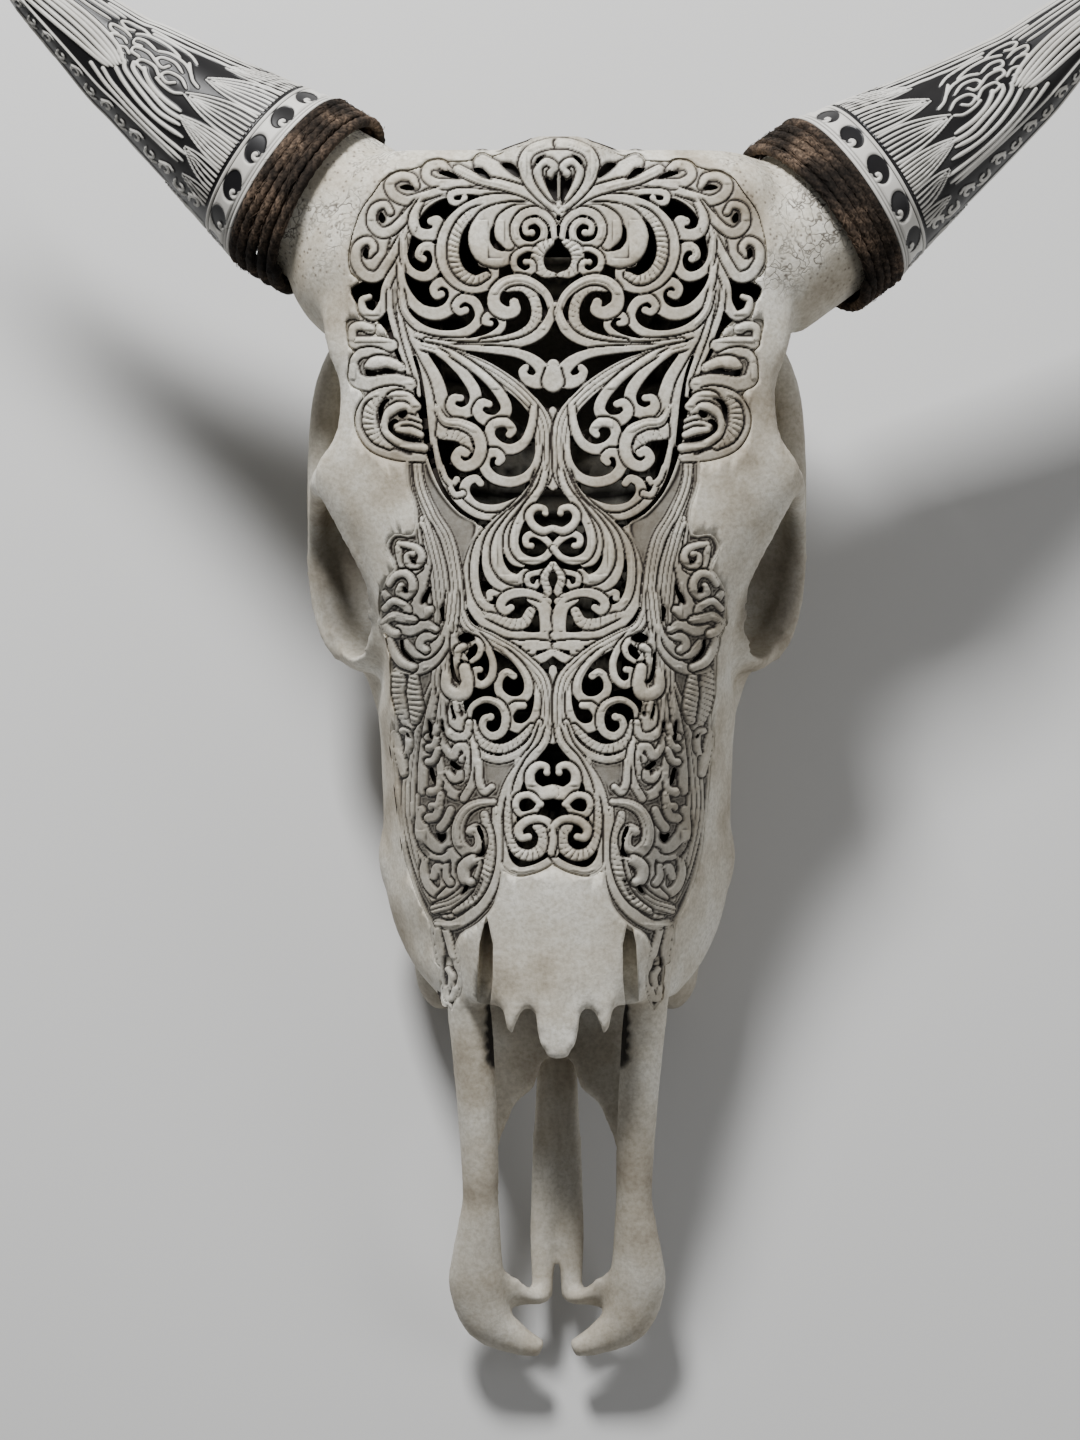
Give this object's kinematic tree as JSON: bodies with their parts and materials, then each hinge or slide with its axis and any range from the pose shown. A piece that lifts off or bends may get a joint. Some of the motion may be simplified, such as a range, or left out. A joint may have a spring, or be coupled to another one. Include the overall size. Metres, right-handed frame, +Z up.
{
  "type": "carved cow skull",
  "caption": "Carved cow skull with pierced scrollwork over forehead and nose, patterned black horn sheaths bound at the base with dark cord, lying on its cheek teeth.",
  "frame": {"origin": "on the table, under the middle of the object's box", "axes": "+Z up from the table, +Y from the snout towards the horn tips, +X towards the right in the picture; the face slopes up at 13 degrees"},
  "size_m": [0.6036, 0.6606, 0.2121],
  "materials": {
    "bone": "dry matt bone, carved, dark in the grooves",
    "tooth": "satin tooth enamel, stained",
    "horn": "polished black horn with ivory-white carved relief",
    "rope": "coarse dark brown twisted cord"
  },
  "bodies": {
    "root": {"skull": "bone", "left_horn": "horn", "right_horn": "horn", "left_horn_rope": "rope", "right_horn_rope": "rope", "left_premolar_1": "tooth", "right_premolar_1": "tooth", "left_premolar_2": "tooth", "right_premolar_2": "tooth", "left_premolar_3": "tooth", "right_premolar_3": "tooth", "left_molar_1": "tooth", "right_molar_1": "tooth", "left_molar_2": "tooth", "right_molar_2": "tooth", "left_molar_3": "tooth", "right_molar_3": "tooth"}
  },
  "joints": []
}
